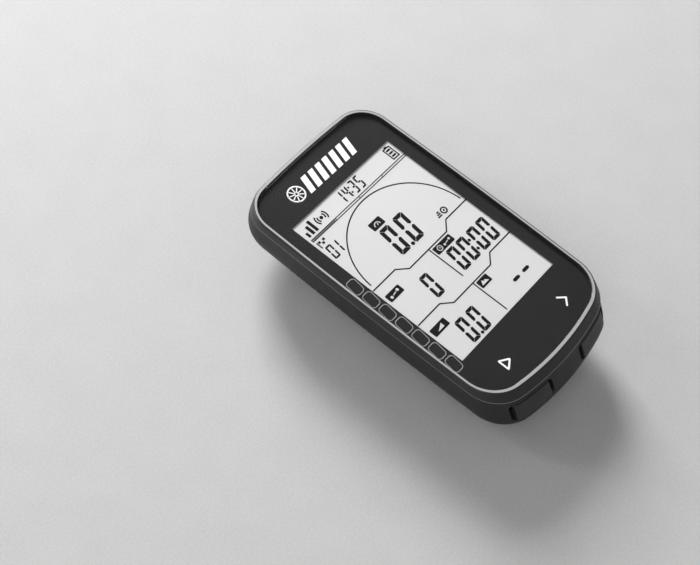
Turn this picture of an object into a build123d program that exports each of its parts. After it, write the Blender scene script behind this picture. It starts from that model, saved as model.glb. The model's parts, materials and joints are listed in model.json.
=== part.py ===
from build123d import *
import os
from math import sqrt

os.makedirs("parts", exist_ok=True)

# Handlebar cycling computer. X is to the right across the face, Y is towards the top end,
# Z is out of the face. Z = 0 is the outer face of the mount insert, which the unit rests on.

# ---- overall sizes ----
body_width = 49.2
body_length = 88.8
casing_depth = 14.4
mount_depth = 4.6

# ---- outline of the face ----
side_radius = 1800.0
top_end_radius = 320.0
bottom_end_radius = 86.0
top_corner_radius = 8.8
bottom_corner_radius = 10.4

# ---- how far each level of the outside stands in from the overall size: side, top, bottom ----
rim_insets = (0.25, 0.65, 5.1)
parting_insets = (0.0, 0.35, 3.1)
shoulder_insets = (0.0, 0.0, 1.35)
belly_insets = (0.45, 0.5, 0.0)
heel_insets = (2.4, 2.3, 1.3)
back_insets = (6.2, 5.0, 5.2)
floor_insets = (4.2, 3.7, 3.4)

# ---- shells ----
wall = 1.6
floor_thickness = 1.4
parting_drop = 2.3
shoulder_drop = 3.7
heel_height = 2.4
plate_thickness = 1.3
tongue_thickness = 1.0
tongue_depth = 1.8
shell_fit = 0.15
seal_width = 0.8
seal_inset = 0.4
block_top_gap = 0.4

# ---- lens stack ----
lip_width = 1.1
lip_outer_round = 0.5
lip_inner_round = 0.2
lens_recess = 0.15
lens_gap = 0.12
lens_thickness = 0.8
lens_edge_round = 0.25
border_thickness = 0.1
adhesive_thickness = 0.15
adhesive_width = 1.4
adhesive_setback = 0.1

# ---- display ----
view_width = 38.2
view_length = 53.5
view_y = 3.3
panel_side_margin = 1.6
panel_top_margin = 1.6
panel_bottom_margin = 3.6
panel_drop = 0.05
polarizer_thickness = 0.15
polarizer_margin = 0.8
panel_thickness = 1.5
guide_thickness = 0.9
guide_margin = 0.6
frame_floor = 0.5
frame_wall = 0.6
frame_gap = 0.15
frame_top_gap = 0.1
frame_side_gap = 0.1
flex_width = 14.0
flex_thickness = 0.12
flex_bend = 0.8
flex_reach = 1.4
flex_run = 1.5
flex_height = 0.6
flex_grip = 0.6
connector_depth = 2.0
connector_height = 1.2
flex_overlap = 0.8

# ---- board ----
board_side_in = 4.2
board_top_in = 3.1
board_key_gap = 1.2
board_hole_gap = 0.1
board_corner = 5.0
board_thickness = 0.8
component_space = 3.4
post_gap = 0.3

# ---- pieces on the board and the floor: length, width, height ----
can_sheet = 0.2
can_corner = 0.6
processor_place = (-7.0, 4.0)
processor_can = (14.0, 13.0, 1.6)
radio_place = (7.0, 20.0)
radio_can = (10.0, 9.0, 1.6)
chips = [
    (processor_place, (9.0, 9.0, 1.1)),
    (radio_place, (6.0, 6.0, 0.9)),
    ((8.0, 2.0), (6.0, 5.0, 0.8)),
    ((-6.0, -21.0), (3.0, 3.0, 0.8)),
    ((7.0, -12.0), (4.0, 4.0, 0.9)),
    ((-10.0, 21.0), (3.2, 1.5, 0.8)),
]
patch_size = 8.6
patch_height = 2.5
patch_corner = 0.5
patch_end_in = 7.4
feed_offset = 0.8
feed_radius = 0.6
feed_height = 0.3
link_x = -9.0
link_end_in = 4.7
link_size = (6.0, 1.6, 1.2)
vent_place = (-10.0, 28.0)
vent_pitch = 1.5
vent_hole_radius = 0.35
membrane_radius = 2.6
membrane_thickness = 0.2
sensor_size = 3.3
sensor_height = 1.1
sensor_corner = 0.4
sensor_port_radius = 0.8
sensor_port_depth = 0.6
buzzer_place = (7.0, 27.5)
buzzer_radius = 5.5
buzzer_hole = 0.8
contact_spread = 3.0
contact_radius = 0.5
contact_height = 2.0

# ---- casing screws, from the back into the upper housing ----
top_screw_side_in = 11.1
top_screw_end_in = 8.9
bottom_screw_side_in = 9.1
bottom_screw_end_in = 14.3
screw_radius = 0.78
screw_hole_radius = 0.8
screw_clear_radius = 0.95
screw_head_radius = 1.45
screw_head_height = 1.2
screw_head_recess = 0.8
screw_bite = 2.3
counterbore_gap = 0.1
post_radius = 2.3
boss_radius = 2.1
boss_gap = 0.2
boss_rise = 1.0
screw_tip_gap = 0.2
screw_slot_length = 1.6
screw_slot_width = 0.36
screw_slot_depth = 0.7

# ---- board screws ----
standoff_side_in = 7.0
standoff_y = (-14.0, 22.0)
standoff_radius = 1.6
board_screw_radius = 0.58
board_screw_hole = 0.6
board_screw_head = 1.2
board_screw_head_height = 0.8
board_screw_bite = 3.0
board_screw_socket = 0.5

# ---- keys: the pocket floor is the zero of each key's own axis, which points inward ----
key_height = 4.0
key_side_gap = 0.15
key_end_gap = 1.2
key_pocket_corner = 1.1
key_proud = 0.3
key_travel = 0.4
key_back_gap = 0.5
key_wall = 1.4
key_edge_round = 0.25
edge_slack = 0.01
lower_key_length = 11.6
lower_key_x = 12.8
lower_pocket_in = 5.8
power_key_length = 12.0
power_key_height = 3.4
power_key_y = 10.0
power_pocket_in = 1.6
power_block_margin = 3.0
key_axis_height = 1.7
key_post_radius = 1.2
key_post_fit = 0.05
o_ring_fit = 0.02
o_ring_section = 0.4
gland_gap = 0.08
clip_thickness = 0.4
clip_radius = 1.65
clip_groove_radius = 0.85
clip_gap = 0.05
post_reach = 1.3
switch_width = 4.7
switch_depth = 2.6
switch_height = 3.2
plunger_radius = 0.75
plunger_fit = 0.05
plunger_proud = 0.5
plunger_length = 1.5
plunger_spare = 0.2
clip_mouth = 1.0

# ---- charge port, in the back ----
port_end_in = 11.0
port_width = 8.94
port_height = 3.16
port_wall = 0.3
port_fit = 0.1
port_top_gap = 1.9
port_mouth_setback = 0.3
port_pad_margin = 1.2
port_tongue_width = 6.7
port_tongue_thickness = 0.7
port_tongue_setback = 0.9
flap_recess_length = 17.0
flap_recess_width = 8.6
flap_recess_corner = 2.0
flap_recess_depth = 1.1
flap_thickness = 1.0
flap_gap = 0.15
flap_hinge_x = -5.6
flap_plug_length = 7.4
flap_plug_width = 1.6
flap_plug_height = 0.9
tether_gap = 0.4
tether_post_radius = 0.75
gasket_thickness = 0.8
gasket_margin = 0.9

# ---- quarter-turn insert ----
insert_y = 4.0
insert_radius = 12.0
insert_plinth = 1.0
tab_radius = 14.5
tab_half_width = 6.4
tab_bottom = 0.5
tab_thickness = 1.6
tab_stop_radius = 0.45
insert_dish_radius = 5.0
insert_dish_depth = 0.8
insert_screw_pitch = 12.4
insert_screw_radius = 0.95
insert_screw_head = 1.9
insert_screw_recess = 0.2
insert_screw_head_height = 1.4
insert_screw_socket = 1.0
insert_screw_cover = 0.3
insert_screw_fit = 0.02
insert_screw_gap = 0.1
insert_edge = 0.3

# ---- battery ----
battery_width = 30.0
battery_length = 42.0
battery_y = -4.0
battery_corner = 1.2
battery_pad_thickness = 0.3
battery_top_gap = 0.6
strip_length = 3.0
strip_thickness = 1.6
lead_radius = 0.35
lead_pitch = 1.6
lead_length = 2.5
lead_x = -2.0
battery_connector_width = 4.4
battery_connector_depth = 2.6
battery_pad_setback = 2.0

# ---- levels, from the resting face up ----
back_z = mount_depth
rim_z = back_z + casing_depth
floor_z = back_z + floor_thickness
parting_z = rim_z - parting_drop
shoulder_z = parting_z - shoulder_drop
heel_z = back_z + heel_height
belly_z = (shoulder_z + heel_z) / 2
lens_top_z = rim_z - lens_recess
lens_bottom_z = lens_top_z - lens_thickness
border_bottom_z = lens_bottom_z - border_thickness
seat_z = border_bottom_z - adhesive_thickness
plate_bottom_z = seat_z - plate_thickness
panel_top_z = seat_z - panel_drop
glass_top_z = panel_top_z - polarizer_thickness
glass_bottom_z = glass_top_z - panel_thickness
guide_bottom_z = glass_bottom_z - guide_thickness
frame_bottom_z = guide_bottom_z - frame_floor
board_top_z = frame_bottom_z - component_space
board_bottom_z = board_top_z - board_thickness
key_z = board_top_z + key_axis_height
recess_z = back_z + flap_recess_depth
mouth_z = recess_z + port_mouth_setback
port_top_z = board_top_z + port_top_gap
pad_top_z = floor_z + flap_recess_depth
post_top_z = board_top_z + boss_rise
boss_bottom_z = post_top_z + boss_gap
screw_seat_z = back_z + screw_head_recess + screw_head_height

panel_width = view_width + 2 * panel_side_margin
panel_length = view_length + panel_top_margin + panel_bottom_margin
panel_y = view_y + (panel_top_margin - panel_bottom_margin) / 2
panel_bottom_y = panel_y - panel_length / 2
frame_width = panel_width + 2 * (frame_gap + frame_wall)
frame_length = panel_length + 2 * (frame_gap + frame_wall)
block_top_z = parting_z - block_top_gap

# ---- places on the face ----
half_width = body_width / 2
half_length = body_length / 2
lower_pocket_y = lower_pocket_in - half_length
inner_end_y = lower_pocket_y + key_wall
power_pocket_x = half_width - power_pocket_in
inner_side_x = power_pocket_x - key_wall
power_block_length = power_key_length + 2 * power_block_margin
port_y = port_end_in - half_length
board_width = body_width - 2 * board_side_in
board_bottom_y = inner_end_y + board_key_gap
board_top_y = half_length - board_top_in
standoff_x = half_width - standoff_side_in
tether_x = flap_hinge_x - flap_thickness / 2 - tether_gap
tether_post_x = (tether_x - flap_recess_length / 2) / 2

screw_places = [
    (side * (half_width - top_screw_side_in), half_length - top_screw_end_in) for side in (-1, 1)
] + [(side * (half_width - bottom_screw_side_in), bottom_screw_end_in - half_length) for side in (-1, 1)]
standoff_places = [(x, y) for x in (-standoff_x, standoff_x) for y in standoff_y]

# Each key's plane: origin on the pocket floor, normal pointing the way the key is pressed.
start_plane = Plane(origin=(-lower_key_x, lower_pocket_y, key_z), x_dir=(1, 0, 0), z_dir=(0, 1, 0))
page_plane = Plane(origin=(lower_key_x, lower_pocket_y, key_z), x_dir=(1, 0, 0), z_dir=(0, 1, 0))
power_plane = Plane(origin=(power_pocket_x, power_key_y, key_z), x_dir=(0, 1, 0), z_dir=(-1, 0, 0))
key_sets = [
    ("start", start_plane, lower_key_length, key_height, key_proud),
    ("page", page_plane, lower_key_length, key_height, key_proud),
    ("power", power_plane, power_key_length, power_key_height, 0.0),
]


def sagitta(radius, half_chord):
    return radius - sqrt(radius**2 - half_chord**2)


def save(piece, name):
    piece.part.label = name
    export_step(piece.part, f"parts/{name}.step")


def outline(z, insets, inset=0.0):
    # The face's shape at height z: four shallow arcs with rounded corners.
    side_in, top_in, bottom_in = insets
    side_x = half_width - side_in - inset
    top_y = half_length - top_in - inset
    bottom_y = bottom_in + inset - half_length
    top_corner_y = top_y - sagitta(top_end_radius, side_x)
    bottom_corner_y = bottom_y + sagitta(bottom_end_radius, side_x)
    top_corner_x = side_x - sagitta(side_radius, top_corner_y)
    bottom_corner_x = side_x - sagitta(side_radius, bottom_corner_y)
    top_left = (-top_corner_x, top_corner_y)
    top_right = (top_corner_x, top_corner_y)
    bottom_left = (-bottom_corner_x, bottom_corner_y)
    bottom_right = (bottom_corner_x, bottom_corner_y)
    with BuildSketch(Plane.XY.offset(z)) as face:
        with BuildLine():
            ThreePointArc(top_left, (0, top_y), top_right)
            ThreePointArc(top_right, (side_x, 0), bottom_right)
            ThreePointArc(bottom_right, (0, bottom_y), bottom_left)
            ThreePointArc(bottom_left, (-side_x, 0), top_left)
        make_face()
        fillet(face.vertices().group_by(Axis.Y)[-1], top_corner_radius - inset)
        fillet(face.vertices().group_by(Axis.Y)[0], bottom_corner_radius - inset)
    return face.sketch


def ring(z, insets, inset, width):
    return outline(z, insets, inset) - outline(z, insets, inset + width)


def slab(face, height):
    # A face or ring made solid, to be joined to the part being built or cut from it.
    return extrude(face, amount=height, mode=Mode.PRIVATE)


def casing_outside():
    # The lower casing's outer form: the sloped key end, the belly and the rounded heel.
    levels = [
        outline(parting_z, parting_insets),
        outline(shoulder_z, shoulder_insets),
        outline(belly_z, belly_insets),
        outline(heel_z, heel_insets),
        outline(back_z, back_insets),
    ]
    with BuildPart() as outside:
        loft(sections=levels)
    return outside.part


def casing_cavity():
    levels = [
        outline(parting_z, parting_insets, wall),
        outline(shoulder_z, shoulder_insets, wall),
        outline(belly_z, belly_insets, wall),
        outline(heel_z, heel_insets, wall),
        outline(floor_z, floor_insets, wall),
    ]
    with BuildPart() as cavity:
        loft(sections=levels)
        # The solid block behind the two lower keys.
        with BuildSketch(Plane.XY):
            with Locations((0, inner_end_y)):
                Rectangle(body_width, body_length, align=(Align.CENTER, Align.MAX))
        extrude(amount=block_top_z, mode=Mode.SUBTRACT)
        # The pad behind the power key.
        with BuildSketch(Plane.XY):
            with Locations((inner_side_x, power_key_y)):
                Rectangle(body_width, power_block_length, align=(Align.MIN, Align.CENTER))
        extrude(amount=block_top_z, mode=Mode.SUBTRACT)
        # The pad that the charge port passes through.
        with BuildSketch(Plane.XY):
            with Locations((0, port_y)):
                RectangleRounded(
                    flap_recess_length + 2 * port_pad_margin,
                    flap_recess_width + 2 * port_pad_margin,
                    flap_recess_corner,
                )
        extrude(amount=pad_top_z, mode=Mode.SUBTRACT)
    return cavity.part


outer_form = casing_outside()

# ---- lower casing ----
with BuildPart() as lower_casing:
    add(outer_form)
    add(casing_cavity(), mode=Mode.SUBTRACT)
    # Plinth that the mount insert is screwed to.
    with BuildSketch(Plane.XY.offset(back_z - insert_plinth)):
        with Locations((0, insert_y)):
            Circle(insert_radius)
    extrude(amount=insert_plinth)
    # Posts for the casing screws and standoffs for the board.
    with BuildSketch(Plane.XY.offset(back_z + floor_thickness / 2)):
        with Locations(*screw_places):
            Circle(post_radius)
    extrude(amount=post_top_z - back_z - floor_thickness / 2)
    with BuildSketch(Plane.XY.offset(back_z + floor_thickness / 2)):
        with Locations(*standoff_places):
            Circle(standoff_radius)
    extrude(amount=board_bottom_z - back_z - floor_thickness / 2)
    with BuildSketch(Plane.XY.offset(back_z)):
        with Locations(*screw_places):
            Circle(screw_clear_radius)
    extrude(amount=casing_depth, mode=Mode.SUBTRACT)
    with BuildSketch(Plane.XY.offset(back_z)):
        with Locations(*screw_places):
            Circle(screw_head_radius + counterbore_gap)
    extrude(amount=screw_head_recess + screw_head_height, mode=Mode.SUBTRACT)
    with BuildSketch(Plane.XY.offset(board_bottom_z)):
        with Locations(*standoff_places):
            Circle(board_screw_hole)
    extrude(amount=-board_screw_bite - screw_tip_gap, mode=Mode.SUBTRACT)
    # Groove for the perimeter seal.
    add(slab(ring(parting_z, parting_insets, seal_inset, seal_width), -seal_width), mode=Mode.SUBTRACT)
    # Key pockets, the O-ring glands at their floors and the holes for the posts.
    for name, plane, length, height, proud in key_sets:
        with BuildSketch(plane):
            RectangleRounded(length + 2 * key_end_gap, height + 2 * key_side_gap, key_pocket_corner)
        extrude(amount=-wall * 4, mode=Mode.SUBTRACT)
        with BuildSketch(plane):
            Circle(key_post_radius + o_ring_fit + 2 * o_ring_section + gland_gap)
        extrude(amount=2 * o_ring_section, mode=Mode.SUBTRACT)
        with BuildSketch(plane):
            Circle(key_post_radius + key_post_fit)
        extrude(amount=key_wall * 2, mode=Mode.SUBTRACT)
    # Recess for the flap, the mouth of the charge port and the hole for the tether's post.
    with BuildSketch(Plane.XY.offset(back_z)):
        with Locations((0, port_y)):
            RectangleRounded(flap_recess_length, flap_recess_width, flap_recess_corner)
    extrude(amount=flap_recess_depth, mode=Mode.SUBTRACT)
    with BuildSketch(Plane.XY.offset(back_z)):
        with Locations((0, port_y)):
            SlotOverall(port_width + 2 * port_fit, port_height + 2 * port_fit)
    extrude(amount=casing_depth / 2, mode=Mode.SUBTRACT)
    with BuildSketch(Plane.XY.offset(back_z)):
        with Locations((tether_post_x, port_y)):
            Circle(tether_post_radius)
    extrude(amount=flap_recess_depth + floor_thickness / 2, mode=Mode.SUBTRACT)
    # Vent holes under the membrane, and blind holes for the insert's screws.
    with BuildSketch(Plane.XY.offset(back_z)):
        with Locations(vent_place):
            with GridLocations(vent_pitch, vent_pitch, 2, 2):
                Circle(vent_hole_radius)
    extrude(amount=floor_thickness * 2, mode=Mode.SUBTRACT)
    with BuildSketch(Plane.XY.offset(back_z - insert_plinth)):
        with Locations((0, insert_y)):
            with PolarLocations(insert_screw_pitch / 2 * sqrt(2), 4, 45):
                Circle(insert_screw_radius)
    extrude(amount=insert_plinth + floor_thickness - insert_screw_cover, mode=Mode.SUBTRACT)
save(lower_casing, "lower_casing")

# ---- upper housing ----
with BuildPart() as upper_housing:
    loft(sections=[outline(parting_z, parting_insets), outline(rim_z, rim_insets)], ruled=True)
    add(slab(outline(seat_z, rim_insets, lip_width), casing_depth), mode=Mode.SUBTRACT)
    lip_face = upper_housing.faces().sort_by(Axis.Z)[-1]
    fillet(lip_face.outer_wire().edges(), lip_outer_round)
    lip_face = upper_housing.faces().filter_by(GeomType.PLANE).sort_by(Axis.Z)[-1]
    fillet(lip_face.inner_wires()[0].edges(), lip_inner_round)
    # Plate that hangs inside the lower casing, and the tongue round it.
    add(slab(outline(plate_bottom_z, parting_insets, wall + shell_fit), plate_thickness / 2))
    add(slab(ring(parting_z, parting_insets, wall + shell_fit, tongue_thickness), -tongue_depth))
    # The tongue stops at the blocks behind the keys, and clears the display frame.
    with BuildSketch(Plane.XY.offset(plate_bottom_z)):
        with Locations((0, inner_end_y + shell_fit)):
            Rectangle(body_width, body_length, align=(Align.CENTER, Align.MAX))
        with Locations((inner_side_x - shell_fit, power_key_y)):
            Rectangle(body_width, power_block_length + 2 * shell_fit, align=(Align.MIN, Align.CENTER))
        with Locations((0, panel_y)):
            Rectangle(frame_width + 2 * frame_side_gap, frame_length + 2 * frame_side_gap)
    extrude(amount=-tongue_depth * 2, mode=Mode.SUBTRACT)
    # Window for the display panel.
    with BuildSketch(Plane.XY.offset(plate_bottom_z)):
        with Locations((0, panel_y)):
            Rectangle(panel_width + 2 * frame_gap, panel_length + 2 * frame_gap)
    extrude(amount=casing_depth, mode=Mode.SUBTRACT)
    # Bosses that the casing screws bite into.
    with BuildSketch(Plane.XY.offset(plate_bottom_z)):
        with Locations(*screw_places):
            Circle(boss_radius)
    extrude(amount=boss_bottom_z - plate_bottom_z)
    with BuildSketch(Plane.XY.offset(boss_bottom_z)):
        with Locations(*screw_places):
            Circle(screw_hole_radius)
    extrude(amount=screw_bite + screw_tip_gap, mode=Mode.SUBTRACT)
save(upper_housing, "upper_housing")

# ---- perimeter seal ----
with BuildPart() as housing_seal:
    add(slab(ring(parting_z, parting_insets, seal_inset, seal_width), -seal_width))
save(housing_seal, "housing_seal")

# ---- lens, its dark border and its adhesive ----
with BuildPart() as front_lens:
    add(slab(outline(lens_bottom_z, rim_insets, lip_width + lens_gap), lens_thickness))
    fillet(front_lens.faces().sort_by(Axis.Z)[-1].outer_wire().edges(), lens_edge_round)
save(front_lens, "front_lens")

with BuildPart() as lens_border:
    add(slab(outline(border_bottom_z, rim_insets, lip_width + lens_gap), border_thickness))
    with BuildSketch(Plane.XY.offset(border_bottom_z)):
        with Locations((0, view_y)):
            Rectangle(view_width, view_length)
    extrude(amount=border_thickness, mode=Mode.SUBTRACT)
save(lens_border, "lens_border")

adhesive_inset = lip_width + lens_gap + adhesive_setback
with BuildPart() as lens_adhesive:
    add(slab(ring(seat_z, rim_insets, adhesive_inset, adhesive_width), adhesive_thickness))
save(lens_adhesive, "lens_adhesive")

# ---- display stack ----
with BuildPart() as lcd_polarizer:
    with BuildSketch(Plane.XY.offset(glass_top_z)):
        with Locations((0, view_y)):
            Rectangle(view_width + 2 * polarizer_margin, view_length + 2 * polarizer_margin)
    extrude(amount=polarizer_thickness)
save(lcd_polarizer, "lcd_polarizer")

with BuildPart() as lcd_glass:
    with BuildSketch(Plane.XY.offset(glass_bottom_z)):
        with Locations((0, panel_y)):
            Rectangle(panel_width, panel_length)
    extrude(amount=panel_thickness)
save(lcd_glass, "lcd_glass")

with BuildPart() as light_guide:
    with BuildSketch(Plane.XY.offset(guide_bottom_z)):
        with Locations((0, view_y)):
            Rectangle(view_width + 2 * guide_margin, view_length + 2 * guide_margin)
    extrude(amount=guide_thickness)
save(light_guide, "light_guide")

with BuildPart() as lcd_frame:
    with BuildSketch(Plane.XY.offset(frame_bottom_z)):
        with Locations((0, panel_y)):
            Rectangle(frame_width, frame_length)
    extrude(amount=plate_bottom_z - frame_top_gap - frame_bottom_z)
    with BuildSketch(Plane.XY.offset(glass_bottom_z)):
        with Locations((0, panel_y)):
            Rectangle(panel_width + 2 * frame_gap, panel_length + 2 * frame_gap)
    extrude(amount=casing_depth, mode=Mode.SUBTRACT)
    with BuildSketch(Plane.XY.offset(guide_bottom_z)):
        with Locations((0, view_y)):
            Rectangle(
                view_width + 2 * (guide_margin + frame_gap),
                view_length + 2 * (guide_margin + frame_gap),
            )
    extrude(amount=casing_depth, mode=Mode.SUBTRACT)
    # Notch that the flex leaves through.
    with BuildSketch(Plane.XY.offset(glass_bottom_z - 3 * flex_thickness)):
        with Locations((0, panel_bottom_y + flex_overlap + frame_gap)):
            Rectangle(flex_width + 2 * frame_gap, 4 * frame_wall, align=(Align.CENTER, Align.MAX))
    extrude(amount=casing_depth, mode=Mode.SUBTRACT)
save(lcd_frame, "lcd_frame")

flex_top_z = glass_bottom_z - flex_thickness / 2
flex_bottom_z = board_top_z + flex_height
flex_out_y = panel_bottom_y - flex_reach
flex_end_y = flex_out_y - flex_run
with BuildPart() as lcd_flex:
    with BuildSketch(Plane.YZ.offset(-flex_width / 2)):
        with BuildLine() as flex_path:
            FilletPolyline(
                (panel_bottom_y + flex_overlap, flex_top_z),
                (flex_out_y, flex_top_z),
                (flex_out_y, flex_bottom_z),
                (flex_end_y, flex_bottom_z),
                radius=flex_bend,
            )
        trace(flex_path.line, flex_thickness)
    extrude(amount=flex_width)
save(lcd_flex, "lcd_flex")

with BuildPart() as flex_connector:
    with BuildSketch(Plane.XY.offset(board_top_z)):
        with Locations((0, flex_end_y + flex_grip)):
            Rectangle(flex_width + 2, connector_depth, align=(Align.CENTER, Align.MAX))
    extrude(amount=connector_height)
    with BuildSketch(Plane.XY.offset(flex_bottom_z - flex_thickness / 2)):
        with Locations((0, flex_end_y)):
            Rectangle(flex_width, connector_depth, align=(Align.CENTER, Align.MIN))
    extrude(amount=flex_thickness, mode=Mode.SUBTRACT)
save(flex_connector, "flex_connector")

# ---- main board ----
with BuildPart() as main_board:
    with BuildSketch(Plane.XY.offset(board_bottom_z)):
        with Locations((0, (board_top_y + board_bottom_y) / 2)):
            RectangleRounded(board_width, board_top_y - board_bottom_y, board_corner)
        with Locations(*screw_places):
            Circle(post_radius + post_gap, mode=Mode.SUBTRACT)
        with Locations(*standoff_places):
            Circle(board_screw_hole + board_hole_gap, mode=Mode.SUBTRACT)
        with Locations((0, port_y)):
            Rectangle(port_width + 4 * port_fit, port_height + 4 * port_fit, mode=Mode.SUBTRACT)
    extrude(amount=board_thickness)
save(main_board, "main_board")

with BuildPart() as board_screws:
    with BuildSketch(Plane.XY.offset(board_top_z)):
        with Locations(*standoff_places):
            Circle(board_screw_head)
    extrude(amount=board_screw_head_height)
    with BuildSketch(Plane.XY.offset(board_top_z)):
        with Locations(*standoff_places):
            Circle(board_screw_radius)
    extrude(amount=-board_thickness - board_screw_bite)
    with BuildSketch(Plane.XY.offset(board_top_z + board_screw_head_height)):
        with Locations(*standoff_places):
            RegularPolygon(board_screw_socket, 6)
    extrude(amount=-board_screw_socket, mode=Mode.SUBTRACT)
save(board_screws, "board_screws")


def stamped_can(place, length, width, height):
    # A thin metal can, open towards the board.
    with BuildPart() as can:
        with BuildSketch(Plane.XY.offset(board_top_z)):
            with Locations(place):
                RectangleRounded(length, width, can_corner)
        extrude(amount=height)
        with BuildSketch(Plane.XY.offset(board_top_z)):
            with Locations(place):
                Rectangle(length - 2 * can_sheet, width - 2 * can_sheet)
        extrude(amount=height - can_sheet, mode=Mode.SUBTRACT)
    return can


processor_shield = stamped_can(processor_place, *processor_can)
save(processor_shield, "processor_shield")
radio_shield = stamped_can(radio_place, *radio_can)
save(radio_shield, "radio_shield")

with BuildPart() as board_chips:
    for place, (length, width, height) in chips:
        with BuildSketch(Plane.XY.offset(board_top_z)):
            with Locations(place):
                Rectangle(length, width)
        extrude(amount=height)
save(board_chips, "board_chips")

patch_y = half_length - patch_end_in
with BuildPart() as satellite_antenna:
    with BuildSketch(Plane.XY.offset(board_top_z)):
        with Locations((0, patch_y)):
            RectangleRounded(patch_size, patch_size, patch_corner)
    extrude(amount=patch_height)
    with BuildSketch(Plane.XY.offset(board_top_z + patch_height)):
        with Locations((feed_offset, patch_y)):
            Circle(feed_radius)
    extrude(amount=feed_height)
save(satellite_antenna, "satellite_antenna")

link_length, link_width, link_height = link_size
with BuildPart() as link_antenna:
    with BuildSketch(Plane.XY.offset(board_top_z)):
        with Locations((link_x, half_length - link_end_in)):
            Rectangle(link_length, link_width)
    extrude(amount=link_height)
save(link_antenna, "link_antenna")

with BuildPart() as pressure_sensor:
    with BuildSketch(Plane.XY.offset(board_bottom_z)):
        with Locations(vent_place):
            RectangleRounded(sensor_size, sensor_size, sensor_corner)
    extrude(amount=-sensor_height)
    with BuildSketch(Plane.XY.offset(board_bottom_z - sensor_height)):
        with Locations(vent_place):
            Circle(sensor_port_radius)
    extrude(amount=sensor_port_depth, mode=Mode.SUBTRACT)
save(pressure_sensor, "pressure_sensor")

with BuildPart() as vent_membrane:
    with BuildSketch(Plane.XY.offset(floor_z)):
        with Locations(vent_place):
            Circle(membrane_radius)
    extrude(amount=membrane_thickness)
save(vent_membrane, "vent_membrane")

buzzer_top_z = board_bottom_z - contact_height
with BuildPart() as buzzer:
    with BuildSketch(Plane.XY.offset(floor_z)):
        with Locations(buzzer_place):
            Circle(buzzer_radius)
    extrude(amount=buzzer_top_z - floor_z)
    with BuildSketch(Plane.XY.offset(buzzer_top_z)):
        with Locations(buzzer_place):
            Circle(buzzer_hole)
    extrude(amount=-buzzer_hole, mode=Mode.SUBTRACT)
save(buzzer, "buzzer")

with BuildPart() as buzzer_contacts:
    with BuildSketch(Plane.XY.offset(buzzer_top_z)):
        with Locations(buzzer_place):
            with GridLocations(2 * contact_spread, contact_spread, 2, 1):
                Circle(contact_radius)
    extrude(amount=contact_height)
save(buzzer_contacts, "buzzer_contacts")

# ---- battery ----
battery_bottom_z = floor_z + battery_pad_thickness
battery_thickness = board_bottom_z - battery_top_gap - battery_bottom_z
strip_y = battery_y + battery_length / 2
with BuildPart() as battery_cell:
    with BuildSketch(Plane.XY.offset(battery_bottom_z)):
        with Locations((0, battery_y)):
            Rectangle(battery_width, battery_length)
    extrude(amount=battery_thickness)
    fillet(battery_cell.edges().filter_by(Axis.Y), min(battery_corner, battery_thickness / 3))
save(battery_cell, "battery_cell")

with BuildPart() as battery_pad:
    with BuildSketch(Plane.XY.offset(floor_z)):
        with Locations((0, battery_y)):
            Rectangle(battery_width - 2 * battery_pad_setback, battery_length - 2 * battery_pad_setback)
    extrude(amount=battery_pad_thickness)
save(battery_pad, "battery_pad")

strip_bottom_z = battery_bottom_z + (battery_thickness - strip_thickness) / 2
with BuildPart() as battery_protection:
    with BuildSketch(Plane.XY.offset(strip_bottom_z)):
        with Locations((0, strip_y)):
            Rectangle(battery_width - 2 * battery_pad_setback, strip_length, align=(Align.CENTER, Align.MIN))
    extrude(amount=strip_thickness)
save(battery_protection, "battery_protection")

lead_start_y = strip_y + strip_length
lead_z = strip_bottom_z + strip_thickness / 2
with BuildPart() as battery_leads:
    with BuildSketch(Plane(origin=(lead_x, lead_start_y, lead_z), x_dir=(1, 0, 0), z_dir=(0, 1, 0))):
        with GridLocations(lead_pitch, 1, 2, 1):
            Circle(lead_radius)
    extrude(amount=lead_length)
save(battery_leads, "battery_leads")

with BuildPart() as battery_connector:
    with BuildSketch(Plane.XY.offset(board_bottom_z)):
        with Locations((lead_x, lead_start_y + lead_length)):
            Rectangle(battery_connector_width, battery_connector_depth, align=(Align.CENTER, Align.MIN))
    extrude(amount=lead_z - 2 * lead_radius - board_bottom_z)
save(battery_connector, "battery_connector")

# ---- casing screws ----
with BuildPart() as casing_screws:
    with BuildSketch(Plane.XY.offset(screw_seat_z)):
        with Locations(*screw_places):
            Circle(screw_head_radius)
    extrude(amount=-screw_head_height)
    with BuildSketch(Plane.XY.offset(screw_seat_z)):
        with Locations(*screw_places):
            Circle(screw_radius)
    extrude(amount=boss_bottom_z + screw_bite - screw_seat_z)
    with BuildSketch(Plane.XY.offset(screw_seat_z - screw_head_height)):
        with Locations(*screw_places):
            for angle in (0, 90):
                Rectangle(screw_slot_length, screw_slot_width, rotation=angle)
    extrude(amount=screw_slot_depth, mode=Mode.SUBTRACT)
save(casing_screws, "casing_screws")

# ---- charge port ----
with BuildPart() as charge_port_shell:
    with BuildSketch(Plane.XY.offset(mouth_z)):
        with Locations((0, port_y)):
            SlotOverall(port_width, port_height)
    extrude(amount=port_top_z - mouth_z)
    with BuildSketch(Plane.XY.offset(mouth_z)):
        with Locations((0, port_y)):
            SlotOverall(port_width - 2 * port_wall, port_height - 2 * port_wall)
    extrude(amount=port_top_z - mouth_z - port_wall, mode=Mode.SUBTRACT)
save(charge_port_shell, "charge_port_shell")

with BuildPart() as charge_port_tongue:
    with BuildSketch(Plane.XY.offset(mouth_z + port_tongue_setback)):
        with Locations((0, port_y)):
            Rectangle(port_tongue_width, port_tongue_thickness)
    extrude(amount=port_top_z - port_wall - mouth_z - port_tongue_setback)
save(charge_port_tongue, "charge_port_tongue")

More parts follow.
